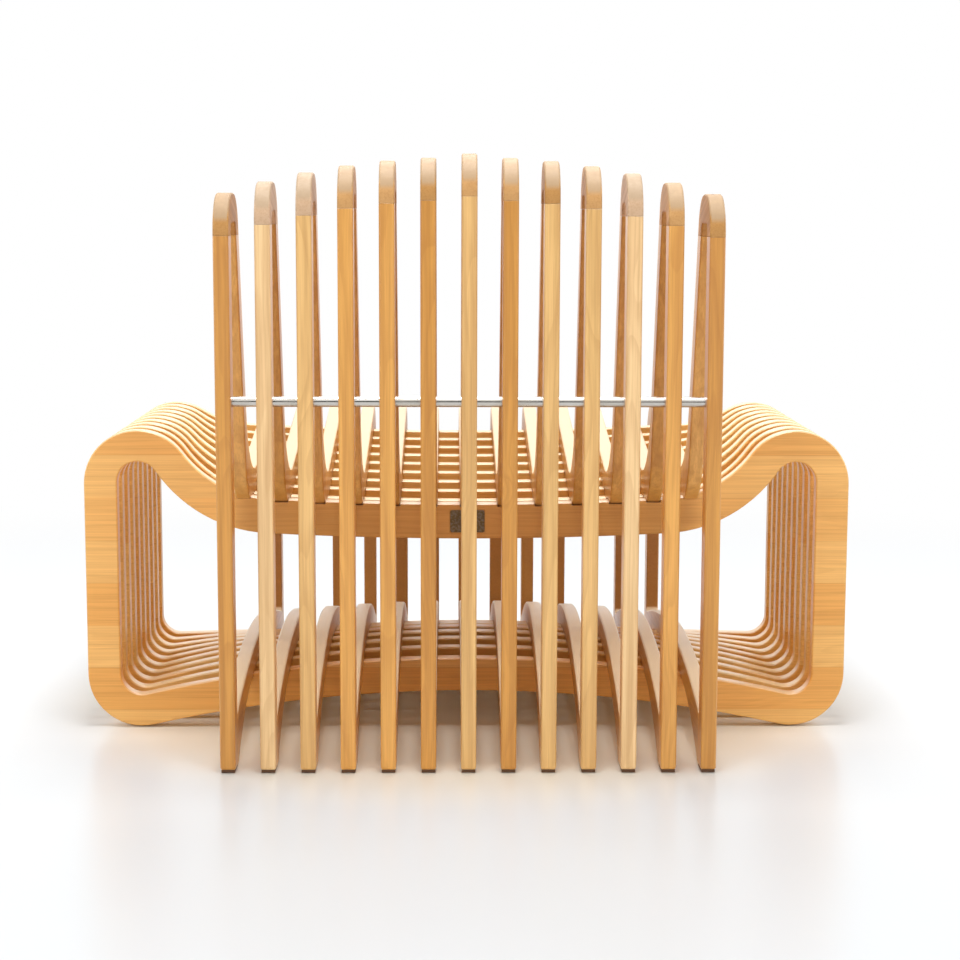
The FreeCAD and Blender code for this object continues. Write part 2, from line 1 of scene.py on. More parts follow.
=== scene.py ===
"""Looks of a lounge chair made of interlocked wooden boards.

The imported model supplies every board, the rod, the glides and the plate. This
add-on gives them their wood, steel and plastic, adds the plate's screws, and
sets up the floor, the lamps and the camera.
"""

from math import radians

import bpy
from mathutils import Euler, Matrix, Vector


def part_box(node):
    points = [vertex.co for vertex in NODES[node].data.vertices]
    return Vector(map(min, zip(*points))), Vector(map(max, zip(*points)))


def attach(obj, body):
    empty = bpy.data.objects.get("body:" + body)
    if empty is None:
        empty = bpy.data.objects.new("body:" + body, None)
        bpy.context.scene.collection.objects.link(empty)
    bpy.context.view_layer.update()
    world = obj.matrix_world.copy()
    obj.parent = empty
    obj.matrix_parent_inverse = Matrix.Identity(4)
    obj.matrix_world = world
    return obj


bl_info = {
    "name": "Interlocked Lounge Chair",
    "version": (1, 0, 0),
    "blender": (4, 5, 0),
    "location": "View3D > Sidebar > Lounge Chair",
    "description": "Wood, steel and studio for a chair of notched boards",
    "category": "Object",
}

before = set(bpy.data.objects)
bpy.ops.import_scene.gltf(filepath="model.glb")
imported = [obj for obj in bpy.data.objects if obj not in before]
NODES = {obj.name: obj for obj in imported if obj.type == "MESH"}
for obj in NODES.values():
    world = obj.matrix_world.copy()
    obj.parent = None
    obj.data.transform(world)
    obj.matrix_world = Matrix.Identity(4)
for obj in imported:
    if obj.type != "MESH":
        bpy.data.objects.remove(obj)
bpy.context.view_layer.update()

RIB_COUNT = 10

# Places in metres where the wood of a seat loop changes
ARCH_LIMIT = 0.20
SEAT_FRONT = -0.29
SEAT_REAR = 0.10
FRONT_LEG_REAR = -0.24

# Distances from the middle between which a rib passes from behind the frames to the open
ROW_END = 0.285
ROW_PAST = 0.325

# Heights between which a rib passes from its bottom rail to its seat bar
RAIL_LIMIT = 0.17
SEAT_LIMIT = 0.22

# Streaks of the grain: how many in a metre across and along the board, detail and roughness
BANDS = (95.0, 2.2, 4.0, 0.6)
GROWTH = (15.0, 1.0, 2.0, 0.5)
FIBRES = (420.0, 7.0, 3.0, 0.6)
PORES = (1100.0, 42.0, 2.0, 0.5)
GROWTH_LINES = 13.0

# Places for knots in a metre on each axis, and the share of them that stays clear
KNOT_PLACES = (9.0, 9.0, 6.0)
KNOTLESS = (0.70, 0.72)

# From where to where a knot's heart and the bent grain round it fade, as shares of its place
HEART_FADES = (0.015, 0.035)
COLLAR_FADES = (0.02, 0.22)

# Waves of the grain in a metre on each axis, how far they bend it, and how far a knot does
WAVES = (5.0, 5.0, 2.4)
WAVE_BEND = 1.6
KNOT_BEND = 0.9

# How squarely a face has to lie across the grain to show its end, and how plain it is there
END_GRAIN = (0.55, 0.95)
END_GRAIN_PLAIN = 0.75

# How much each mark darkens the wood, and how much a cast pales it
END_GRAIN_MARK = 0.35
FIBRE_MARK = 0.34
PORE_MARK = 0.16
COLLAR_MARK = 0.35
HEART_MARK = 0.8
CAST_MARK = 0.30

# How much of a face that looks up is paled with painted top light: seat, what the arches have more,
# and ribs
SEAT_PAINTED_LIGHT = 0.52
ARCH_MORE = 0.32
RIB_PAINTED_LIGHT = 0.58

# Half the width of an arch's glue line in metres, and how far its place strays
ARCH_LINE = (0.0003, 0.0011)
ARCH_STRAY = 0.004

# What a colour is multiplied by to give another shade of the wood
LATE_WOOD = (0.66, 0.52, 0.40, 1.0)
EARLY_WOOD = (1.14, 1.135, 1.20, 1.0)
# Edges: part wear, part painted highlight of light caught by the rounded edges
EDGE_WEAR_AND_HIGHLIGHT = (1.22, 1.26, 1.32, 1.0)
# Painted shade: deeper, redder colour where the frames keep light off
PAINTED_SHADE = (0.66, 0.60, 0.52, 1.0)
ARCH_SHADE = (1.02, 1.08, 1.22, 1.0)
ARCH_GLUE = (0.60, 0.48, 0.36, 1.0)
STRIP_SHADE = (0.94, 0.81, 0.62, 1.0)
STRIP_GLUE = (0.78, 0.66, 0.50, 1.0)
LOOP_SHADE = (0.93, 1.03, 1.2)
BLOCK_SHADE = (0.84, 0.98, 1.8)

KNOT_HEART = (0.15, 0.06, 0.02, 1.0)
DULL_METAL = (0.22, 0.18, 0.14, 1.0)
SMUDGE_SHADE = (0.86, 0.84, 0.80)

# A plate screw, as shares of its radius: thickness, rounding, place from the plate's end,
# and its slot's length, depth both ways and width
SCREW_THICKNESS = 0.5
SCREW_ROUNDING = 0.22
SCREW_INSET = 2.4
SLOT_SHARES = (2.4, 0.3, 0.28)

# Farthest that a pattern jumps between boards, between strips and in an arch
BOARD_JUMP = 9.0
STRIP_JUMP = 5.0
ARCH_JUMP = 3.0

# Camera: its sensor in millimetres, and how far it sees in metres
SENSOR_WIDTH = 36.0
CLIP_END = 50.0

# Floor in metres: its size, where its middle of painted bounce light ends, and where it turns to
# pure white
FLOOR_SIZE = 40.0
MIDDLE_ENDS = (0.36, 0.62)
TURNS_WHITE = (0.9, 2.1)

# Dark end of the studio, in metres
WALL_PLACE = (0.0, 4.6, 1.1)
WALL_WIDTH = 9.0
WALL_HEIGHT = 2.2
WALL_COLOUR = (0.05, 0.05, 0.05, 1.0)

# Even light: its colour, and how much brighter it is in polished surfaces
SKY_COLOUR = (1.0, 0.985, 0.965, 1.0)
SKY_GLOW = 0.3

# Lamps: name, place, the point that it faces, width, length and power
LAMPS = (
    ("top lamp", (0.0, 0.45, 3.2), (0.0, 0.1, 0.3), 1.0, 1.4, 71.0),
    ("seat lamp", (0.0, -1.4, 3.0), (0.0, 0.0, 0.3), 1.0, 1.8, 35.0),
    ("left rear lamp", (1.5, 2.7, 0.9), (0.0, 0.1, 0.25), 0.9, 1.2, 20.0),
    ("left front lamp", (2.9, -0.7, 1.4), (0.0, 0.1, 0.40), 1.6, 1.6, 34.0),
    ("right rear lamp", (-1.5, 2.7, 0.9), (0.0, 0.1, 0.25), 0.9, 1.2, 17.5),
    ("right front lamp", (-2.9, -0.7, 1.4), (0.0, 0.1, 0.40), 1.6, 1.6, 34.0),
)

# Tone of each board, from the one on the sitter's right (-X) to the left
POST_TONES = "amber honey cream pale pale amber pale amber honey honey pale cream amber"
TOP_TONES = "amber honey pale honey amber honey honey amber honey honey pale pale amber"
LOOP_TONES = "honey amber honey amber honey amber honey amber amber honey honey amber honey"


def srgb(red, green, blue):
    """Linear colour from three display values of 0 to 255."""
    def one(value):
        share = value / 255
        if share <= 0.04045:
            return share / 12.92
        return ((share + 0.055) / 1.055) ** 2.4
    return (one(red), one(green), one(blue))


# Settings

class ChairWoodSettings(bpy.types.PropertyGroup):
    """Colours and sizes of the wood."""

    cream: bpy.props.FloatVectorProperty(
        name="Cream wood", description="Lightest boards", subtype="COLOR",
        size=3, min=0.0, max=1.0, default=srgb(246, 207, 149))
    pale: bpy.props.FloatVectorProperty(
        name="Pale wood", description="Light boards", subtype="COLOR",
        size=3, min=0.0, max=1.0, default=srgb(236, 190, 119))
    honey: bpy.props.FloatVectorProperty(
        name="Honey wood", description="Golden boards", subtype="COLOR",
        size=3, min=0.0, max=1.0, default=srgb(233, 171, 84))
    amber: bpy.props.FloatVectorProperty(
        name="Amber wood", description="Browner boards", subtype="COLOR",
        size=3, min=0.0, max=1.0, default=srgb(217, 154, 68))
    rib: bpy.props.FloatVectorProperty(
        name="Rib wood", description="Wide ribs from side to side", subtype="COLOR",
        size=3, min=0.0, max=1.0, default=srgb(249, 194, 113))
    # Painted top light: faces that look up are paled towards this colour in place of strong light
    # and sheen from above
    painted_top_light: bpy.props.FloatVectorProperty(
        name="Painted top light", description="Faces that look up, paled as painted top light",
        subtype="COLOR", size=3, min=0.0, max=1.0, default=srgb(241, 227, 197))
    # Painted sheen: the rounded tops are paled and greyed in place of the overhead lamp's reflection
    painted_sheen: bpy.props.FloatVectorProperty(
        name="Painted sheen", description="Rounded tops, paled as painted sheen",
        subtype="COLOR", size=3, min=0.0, max=1.0, default=srgb(181, 158, 130))
    # A paler, less red copy of the rib wood, painted in place of the light inside the chair
    inner_rib: bpy.props.FloatVectorProperty(
        name="Inner rib wood", description="Ribs in front of the rearmost one", subtype="COLOR",
        size=3, min=0.0, max=1.0, default=srgb(246, 204, 127))
    frame_pitch: bpy.props.FloatProperty(
        name="Frame pitch", description="Distance between side frames",
        unit="LENGTH", min=0.01, default=0.050)
    rib_pitch: bpy.props.FloatProperty(
        name="Rib pitch", description="Distance between cross ribs",
        unit="LENGTH", min=0.01, default=0.044)
    arch_joint: bpy.props.FloatProperty(
        name="Arch joint", description="Distance of a glued joint in the floor arch from mid-depth",
        unit="LENGTH", min=0.0, default=0.236)
    stave_width: bpy.props.FloatProperty(
        name="Stave width", description="Width of the glued strips in the ribs' panels",
        unit="LENGTH", min=0.01, default=0.058)
    # The edges within this width are brightened, part wear and part painted highlight
    edge_size: bpy.props.FloatProperty(
        name="Edge wear width", description="How far wear reaches in from an edge",
        unit="LENGTH", min=0.0, default=0.0018)


class ChairMetalSettings(bpy.types.PropertyGroup):
    """Colours of the rod, the plate and the glides."""

    steel: bpy.props.FloatVectorProperty(
        name="Steel", description="Polished tie rod", subtype="COLOR",
        size=3, min=0.0, max=1.0, default=srgb(208, 204, 198))
    glide: bpy.props.FloatVectorProperty(
        name="Glides", description="Pads under the feet", subtype="COLOR",
        size=3, min=0.0, max=1.0, default=srgb(92, 60, 34))
    plate: bpy.props.FloatVectorProperty(
        name="Plate", description="Blank plate on the rearmost rib", subtype="COLOR",
        size=3, min=0.0, max=1.0, default=srgb(88, 72, 42))
    screw_radius: bpy.props.FloatProperty(
        name="Screw radius", description="Radius of the plate's screw heads",
        unit="LENGTH", min=0.0005, default=0.0017)


class ChairStageSettings(bpy.types.PropertyGroup):
    """Camera, lamps and floor."""

    lens: bpy.props.FloatProperty(
        name="Lens", description="Focal length on a 36 mm sensor",
        unit="CAMERA", min=10.0, default=75.31)
    eye: bpy.props.FloatVectorProperty(
        name="Eye", description="Place of the camera", subtype="TRANSLATION",
        unit="LENGTH", size=3, default=(0.0245, 2.8098, 0.6968))
    pitch: bpy.props.FloatProperty(
        name="Pitch", description="How far the camera looks down",
        subtype="ANGLE", default=radians(7.639))
    heading: bpy.props.FloatProperty(
        name="Heading", description="Turn of the camera from straight behind",
        subtype="ANGLE", default=radians(-0.888))
    roll: bpy.props.FloatProperty(
        name="Roll", description="Tilt of the camera about its own axis",
        subtype="ANGLE", default=radians(0.157))
    sky: bpy.props.FloatProperty(
        name="Sky", description="Strength of the even light", min=0.0, default=0.25)
    floor: bpy.props.FloatVectorProperty(
        name="Floor", description="Floor and backdrop", subtype="COLOR",
        size=3, min=0.0, max=1.0, default=srgb(210, 214, 217))
    # Painted bounce light: the floor under the chair is warmer and brighter than the rest
    floor_painted_bounce: bpy.props.FloatVectorProperty(
        name="Floor middle", description="Warmer, brighter floor under the chair as painted bounce light", subtype="COLOR",
        size=3, min=0.0, max=1.0, default=srgb(247, 244, 229))


# Shader tree helpers

class Tree:
    """Short calls for adding and linking nodes in one tree."""

    def __init__(self, tree):
        self.tree = tree

    def add(self, kind, **settings):
        node = self.tree.nodes.new("ShaderNode" + kind)
        for key, value in settings.items():
            setattr(node, key, value)
        return node

    def feed(self, socket, value):
        """Links a socket to another, or sets it to a plain value."""
        if isinstance(value, bpy.types.NodeSocket):
            self.tree.links.new(value, socket)
        else:
            socket.default_value = value

    def math(self, operation, first, second=0.0, third=0.0, clamp=False):
        node = self.add("Math", operation=operation, use_clamp=clamp)
        for socket, value in zip(node.inputs, (first, second, third)):
            self.feed(socket, value)
        return node.outputs[0]

    def mixed(self, node, factor, first, second):
        """Result of a Mix node."""
        self.feed(node.inputs["Factor"], factor)
        self.feed(node.inputs["A"], first)
        self.feed(node.inputs["B"], second)
        return node.outputs["Result"]

    def blend(self, factor, first, second, kind="MIX"):
        """Mix of two colours."""
        return self.mixed(self.add("Mix", data_type="RGBA", blend_type=kind), factor, first, second)

    def tint(self, colour, shade, share=1.0):
        """Colour multiplied by a shade, in part."""
        return self.blend(share, colour, self.blend(1.0, colour, shade, "MULTIPLY"))

    def noise(self, vector, scale, detail=3.0, roughness=0.5, distortion=0.0):
        node = self.add("TexNoise")
        self.feed(node.inputs["Vector"], vector)
        self.feed(node.inputs["Scale"], scale)
        self.feed(node.inputs["Detail"], detail)
        self.feed(node.inputs["Roughness"], roughness)
        self.feed(node.inputs["Distortion"], distortion)
        return node.outputs["Fac"]

    def ramp(self, factor, low, high, start=0.0, end=1.0):
        """Smooth rise from start to end as the factor goes from low to high."""
        node = self.add("MapRange", interpolation_type="SMOOTHSTEP")
        self.feed(node.inputs["Value"], factor)
        self.feed(node.inputs["From Min"], low)
        self.feed(node.inputs["From Max"], high)
        self.feed(node.inputs["To Min"], start)
        self.feed(node.inputs["To Max"], end)
        return node.outputs["Result"]

    def choose(self, factor, first, second):
        """Mix of two vectors."""
        return self.mixed(self.add("Mix", data_type="VECTOR"), factor, first, second)

    def turned(self, vector, about_x=0.0, about_y=0.0):
        """Vector turned about X or Y by angles in degrees."""
        node = self.add("Mapping")
        self.feed(node.inputs["Vector"], vector)
        self.feed(node.inputs["Rotation"], (radians(about_x), radians(about_y), 0.0))
        return node.outputs["Vector"]

    def part(self, vector, axis):
        """One part of a vector."""
        node = self.add("SeparateXYZ")
        self.feed(node.inputs["Vector"], vector)
        return node.outputs[axis]

    def scaled(self, vector, scale, offset=(0.0, 0.0, 0.0)):
        """Vector made longer or shorter on each axis."""
        node = self.add("Mapping")
        self.feed(node.inputs["Vector"], vector)
        self.feed(node.inputs["Scale"], scale)
        self.feed(node.inputs["Location"], offset)
        return node.outputs["Vector"]

    def vectors(self, operation, first, second):
        """Node that works on two vectors."""
        node = self.add("VectorMath", operation=operation)
        self.feed(node.inputs[0], first)
        self.feed(node.inputs[1], second)
        return node

    def agreement(self, first, second):
        """How far two directions agree, from 1 for the same to -1 for opposite."""
        return self.vectors("DOT_PRODUCT", first, second).outputs["Value"]

    def jumped(self, vector, chance, distance):
        """Vector moved by a random jump."""
        jump = self.add("VectorMath", operation="SCALE")
        self.feed(jump.inputs[0], chance)
        jump.inputs["Scale"].default_value = distance
        return self.vectors("ADD", vector, jump.outputs["Vector"]).outputs["Vector"]

    def relief(self, shader, height, strength, distance, normal=None):
        """Raises the shader's surface by a height."""
        bump = self.add("Bump")
        bump.inputs["Strength"].default_value = strength
        bump.inputs["Distance"].default_value = distance
        self.feed(bump.inputs["Height"], height)
        if normal is not None:
            self.feed(bump.inputs["Normal"], normal)
        self.feed(shader.inputs["Normal"], bump.outputs["Normal"])


def new_group(name, inputs, outputs):
    """Node group with float, vector or colour sockets, and its inner nodes."""
    group = bpy.data.node_groups.new(name, "ShaderNodeTree")
    kinds = {"value": "NodeSocketFloat", "vector": "NodeSocketVector", "colour": "NodeSocketColor"}
    for label, kind in inputs:
        group.interface.new_socket(name=label, in_out="INPUT", socket_type=kinds[kind])
    for label, kind in outputs:
        group.interface.new_socket(name=label, in_out="OUTPUT", socket_type=kinds[kind])
    tree = Tree(group)
    start = group.nodes.new("NodeGroupInput")
    end = group.nodes.new("NodeGroupOutput")
    return tree, start, end


def use_group(tree, name, **values):
    """Places a built group and feeds its inputs; underscores stand for spaces."""
    node = tree.tree.nodes.new("ShaderNodeGroup")
    node.node_tree = bpy.data.node_groups[name]
    for key, value in values.items():
        tree.feed(node.inputs[key.replace("_", " ")], value)
    return node


# Shared effects

def build_board_shift():
    """Moves the pattern by a whole jump for each board in a row, so no two match."""
    tree, start, end = new_group(
        "board shift",
        [("Vector", "vector"), ("Row", "vector"), ("Pitch", "value"), ("First", "value")],
        [("Vector", "vector"), ("Chance", "value")])
    place = tree.agreement(start.outputs["Vector"], start.outputs["Row"])
    along = tree.math("SUBTRACT", place, start.outputs["First"])
    number = tree.math("ROUND", tree.math("DIVIDE", along, start.outputs["Pitch"]))
    chance = tree.add("TexWhiteNoise", noise_dimensions="1D")
    tree.feed(chance.inputs["W"], number)
    moved = tree.jumped(start.outputs["Vector"], chance.outputs["Color"], BOARD_JUMP)
    tree.feed(end.inputs["Vector"], moved)
    tree.feed(end.inputs["Chance"], chance.outputs["Value"])


def build_grain():
    """Sawn grain that runs along Z: broad bands, growth lines, fine fibres and small knots."""
    tree, start, end = new_group(
        "sawn grain",
        [("Vector", "vector"), ("Colour", "colour"), ("Bands", "value"), ("Lines", "value"),
         ("Knots", "value"), ("Along", "vector")],
        [("Colour", "colour"), ("Pores", "value"), ("Sheen", "value")])
    vector = start.outputs["Vector"]
    # end grain, where the surface faces along the grain, is plainer and darker
    facing = tree.agreement(tree.add("TexCoord").outputs["Normal"], start.outputs["Along"])
    sawn_end = tree.ramp(tree.math("ABSOLUTE", facing), *END_GRAIN)
    clear = tree.math("SUBTRACT", 1.0, tree.math("MULTIPLY", sawn_end, END_GRAIN_PLAIN))
    bands_share = tree.math("MULTIPLY", start.outputs["Bands"], clear)
    lines_share = tree.math("MULTIPLY", start.outputs["Lines"], clear)
    # a few small knots, each with a collar of bent grain
    cells = tree.add("TexVoronoi", feature="F1", distance="EUCLIDEAN")
    tree.feed(cells.inputs["Vector"], tree.scaled(vector, KNOT_PLACES))
    cells.inputs["Scale"].default_value = 1.0
    pick = tree.add("SeparateColor")
    tree.feed(pick.inputs["Color"], cells.outputs["Color"])
    chosen = tree.ramp(pick.outputs["Red"], *KNOTLESS)
    chosen = tree.math("MULTIPLY", chosen, start.outputs["Knots"])
    away = cells.outputs["Distance"]
    heart = tree.math("MULTIPLY", tree.ramp(away, *HEART_FADES, 1.0, 0.0), chosen)
    collar = tree.math("MULTIPLY", tree.ramp(away, *COLLAR_FADES, 1.0, 0.0), chosen)
    # grain that wanders a little along the board
    sway = tree.noise(tree.scaled(vector, WAVES), 1.0, 2.0)
    bend = tree.math("MULTIPLY_ADD", collar, KNOT_BEND, tree.math("MULTIPLY", sway, WAVE_BEND))
    shift = tree.add("CombineXYZ")
    tree.feed(shift.inputs["X"], bend)
    tree.feed(shift.inputs["Y"], bend)

    def streaks(across, along, detail, roughness):
        moved = tree.vectors("ADD", tree.scaled(vector, (across, across, along)),
                             shift.outputs["Vector"])
        return tree.noise(moved.outputs["Vector"], 1.0, detail, roughness)

    bands = streaks(*BANDS)
    growth = streaks(*GROWTH)
    rings = tree.math("FRACT", tree.math("MULTIPLY", growth, GROWTH_LINES))
    late = tree.math("MULTIPLY", tree.ramp(rings, 0.35, 0.92), tree.ramp(rings, 0.93, 1.0, 1.0, 0.0))
    fibre = streaks(*FIBRES)
    pores = tree.ramp(streaks(*PORES), 0.62, 0.76)
    cast = tree.noise(tree.scaled(vector, (6.0, 6.0, 3.0)), 1.0, 2.0)
    # browner wood in the late growth, paler wood between the bands
    base = start.outputs["Colour"]
    dark = tree.blend(1.0, base, LATE_WOOD, "MULTIPLY")
    light = tree.blend(1.0, base, EARLY_WOOD, "MULTIPLY")
    band = tree.math("MULTIPLY", tree.ramp(bands, 0.40, 0.66), bands_share)
    pale = tree.math("MULTIPLY", tree.ramp(bands, 0.52, 0.34), bands_share)
    colour = tree.blend(pale, base, light)
    colour = tree.blend(tree.ramp(cast, 0.35, 0.65, 0.0, CAST_MARK), colour, light)
    colour = tree.blend(band, colour, dark)
    colour = tree.blend(tree.math("MULTIPLY", late, lines_share), colour, dark)
    colour = tree.blend(tree.math("MULTIPLY", sawn_end, END_GRAIN_MARK), colour, dark)
    colour = tree.blend(tree.ramp(fibre, 0.42, 0.70, 0.0, FIBRE_MARK), colour, dark)
    colour = tree.blend(tree.math("MULTIPLY", pores, PORE_MARK), colour, dark)
    colour = tree.blend(tree.math("MULTIPLY", collar, COLLAR_MARK), colour, dark)
    colour = tree.blend(tree.math("MULTIPLY", heart, HEART_MARK), colour, KNOT_HEART)
    tree.feed(end.inputs["Colour"], colour)
    height = tree.math("MULTIPLY_ADD", fibre, 0.5, tree.math("MULTIPLY", pores, -1.0))
    tree.feed(end.inputs["Pores"], height)
    tree.feed(end.inputs["Sheen"], tree.ramp(fibre, 0.2, 0.8, -0.05, 0.05))


def build_staves():
    """Glued strips across a panel: one tone for each strip and a thin dark joint."""
    tree, start, end = new_group(
        "glued strips",
        [("Vector", "vector"), ("Width", "value"), ("Chance", "value")],
        [("Tone", "value"), ("Joint", "value"), ("Shift", "vector")])
    place = tree.math("DIVIDE", tree.part(start.outputs["Vector"], "X"), start.outputs["Width"])
    place = tree.math("ADD", place, start.outputs["Chance"])
    strip = tree.math("FLOOR", place)
    seed = tree.math("MULTIPLY_ADD", start.outputs["Chance"], 57.0, strip)
    chance = tree.add("TexWhiteNoise", noise_dimensions="1D")
    tree.feed(chance.inputs["W"], seed)
    inside = tree.math("FRACT", place)
    near = tree.math("ABSOLUTE", tree.math("SUBTRACT", inside, 0.5))
    tree.feed(end.inputs["Tone"], chance.outputs["Value"])
    tree.feed(end.inputs["Joint"], tree.ramp(near, 0.486, 0.499))
    moved = tree.jumped(start.outputs["Vector"], chance.outputs["Color"], STRIP_JUMP)
    tree.feed(end.inputs["Shift"], moved)


def build_edge_wear():
    """How close a point is to an edge, from 0 on a flat to 1 on the edge, and the rounded normal."""
    tree, start, end = new_group(
        "edge wear", [("Width", "value"), ("Vector", "vector")],
        [("Wear", "value"), ("Normal", "vector")])
    soft = tree.add("Bevel", samples=6)
    tree.feed(soft.inputs["Radius"], start.outputs["Width"])
    flat = tree.add("NewGeometry")
    alike = tree.agreement(soft.outputs["Normal"], flat.outputs["Normal"])
    worn = tree.ramp(alike, 0.84, 0.995, 1.0, 0.0)
    patch = tree.ramp(tree.noise(start.outputs["Vector"], 38.0, 3.0), 0.35, 0.65, 0.35, 1.0)
    tree.feed(end.inputs["Wear"], tree.math("MULTIPLY", worn, patch))
    tree.feed(end.inputs["Normal"], soft.outputs["Normal"])


# Materials

def bare_material(name):
    """Material with an empty shader tree."""
    material = bpy.data.materials.new(name)
    material.use_nodes = True
    material.node_tree.nodes.clear()
    return material, Tree(material.node_tree)


def new_material(name):
    """Material with its tree and one Principled shader."""
    material, tree = bare_material(name)
    shader = tree.add("BsdfPrincipled")
    output = tree.add("OutputMaterial")
    tree.feed(output.inputs["Surface"], shader.outputs["BSDF"])
    return material, tree, shader


def brighter(colour, times, plus):
    """Opaque colour, made brighter and lifted off black."""
    return (*[value * times + plus for value in colour], 1.0)


def with_painted_top_light(tree, colour, other, low, high, share):
    """Colour that turns to another, in part, on faces that look up, as painted top light."""
    upward = tree.part(tree.add("TexCoord").outputs["Normal"], "Z")
    return tree.blend(tree.ramp(upward, low, high, 0.0, share), colour, (*other, 1.0))


def finish_wood(tree, shader, place, settings, colour, grain, roughness, coat=0.35):
    """Feeds colour, gloss and relief of the satin varnished wood, with edges brightened as part wear
    and part painted highlight.
    """
    edge = use_group(tree, "edge wear", Width=settings.edge_size, Vector=place)
    # edges brightened: part wear, part painted highlight
    wear = tree.math("MULTIPLY", edge.outputs["Wear"], 0.45)
    tree.feed(shader.inputs["Base Color"], tree.tint(colour, EDGE_WEAR_AND_HIGHLIGHT, wear))
    tree.feed(shader.inputs["Roughness"],
              tree.math("ADD", grain.outputs["Sheen"], roughness, clamp=True))
    tree.feed(shader.inputs["Coat Weight"], coat)
    shader.inputs["Coat Roughness"].default_value = 0.28
    tree.relief(shader, grain.outputs["Pores"], strength=0.10, distance=0.0003,
                normal=edge.outputs["Normal"])


def frame_place(tree, settings):
    """Object coordinates, and the same moved by a jump for each side frame."""
    place = tree.add("TexCoord").outputs["Object"]
    row = use_group(tree, "board shift", Vector=place, Row=(1.0, 0.0, 0.0),
                    Pitch=settings.frame_pitch, First=0.0)
    return place, row.outputs["Vector"]


def upright_wood(name, colour, settings):
    """Wood of the frames' straight boards, its grain upright."""
    material, tree, shader = new_material(name)
    place, moved = frame_place(tree, settings)
    grain = use_group(tree, "sawn grain", Vector=moved, Colour=(*colour, 1.0),
                      Bands=0.48, Lines=0.26, Knots=0.4, Along=(0.0, 0.0, 1.0))
    finish_wood(tree, shader, place, settings, grain.outputs["Colour"], grain, roughness=0.36)
    return material


def loop_wood(name, colour, settings):
    """Wood of the seat loops: upright boards, and level ones glued between them."""
    material, tree, shader = new_material(name)
    greyed = [value * share for value, share in zip(colour, LOOP_SHADE)]
    place, moved = frame_place(tree, settings)
    depth = tree.math("ABSOLUTE", tree.part(place, "Y"))
    height = tree.part(place, "Z")
    # each loop has the joint of its arch in a slightly different place
    uneven = tree.math("MULTIPLY_ADD", tree.part(moved, "X"), ARCH_STRAY, settings.arch_joint)
    past = tree.math("SUBTRACT", uneven, depth)
    low = tree.math("LESS_THAN", height, ARCH_LIMIT)
    inner = tree.math("MULTIPLY", tree.math("GREATER_THAN", past, 0.0), low)
    seat = tree.math("MULTIPLY", tree.math("LESS_THAN", tree.part(place, "Y"), SEAT_REAR),
                     tree.math("GREATER_THAN", tree.part(place, "Y"), SEAT_FRONT))
    seat = tree.math("MULTIPLY", seat, tree.math("GREATER_THAN", height, ARCH_LIMIT))
    level = tree.math("MAXIMUM", low, seat)
    lying = tree.vectors("ADD", tree.turned(moved, about_x=90.0),
                         tree.math("MULTIPLY", inner, ARCH_JUMP))
    grain = use_group(tree, "sawn grain", Vector=tree.choose(level, moved, lying.outputs["Vector"]),
                      Colour=(*greyed, 1.0), Bands=0.45, Lines=0.26, Knots=1.0,
                      Along=tree.choose(level, (0.0, 0.0, 1.0), (0.0, 1.0, 0.0)))
    toned = tree.tint(grain.outputs["Colour"], ARCH_SHADE, inner)
    line = tree.ramp(tree.math("ABSOLUTE", past), *ARCH_LINE, 0.8, 0.0)
    joined = tree.tint(toned, ARCH_GLUE, tree.math("MULTIPLY", line, low))
    # painted shade on the side of the front legs that looks under the seat
    rearward = tree.ramp(tree.part(tree.add("TexCoord").outputs["Normal"], "Y"), 0.3, 0.8, 0.0, 0.8)
    leg = tree.math("LESS_THAN", tree.part(place, "Y"), FRONT_LEG_REAR)
    with_painted_shade = tree.tint(joined, PAINTED_SHADE, tree.math("MULTIPLY", rearward, leg))
    # the floor arches get more painted top light than the seat
    share = tree.math("MULTIPLY_ADD", low, ARCH_MORE, SEAT_PAINTED_LIGHT)
    painted_top_light = with_painted_top_light(tree, with_painted_shade, settings.painted_top_light, low=0.22, high=0.60, share=share)
    finish_wood(tree, shader, place, settings, painted_top_light, grain, roughness=0.40)
    return material


def block_wood(name, colour, settings):
    """Wood of the top blocks, its grain from rear to front, so the rear shows end grain, and with a
    painted sheen on top.
    """
    material, tree, shader = new_material(name)
    dulled = [value * share for value, share in zip(colour, BLOCK_SHADE)]
    place, moved = frame_place(tree, settings)
    grain = use_group(tree, "sawn grain", Vector=tree.turned(moved, about_x=72.0),
                      Colour=(*dulled, 1.0), Bands=0.55, Lines=0.0, Knots=0.0,
                      Along=(0.0, 1.0, 0.0))
    # painted sheen on the rounded tops that look up
    painted_sheen = with_painted_top_light(tree, grain.outputs["Colour"], settings.painted_sheen, low=0.26, high=0.44, share=0.72)
    shader.inputs["Specular IOR Level"].default_value = 0.2
    finish_wood(tree, shader, place, settings, painted_sheen, grain, roughness=0.50, coat=0.05)
    return material


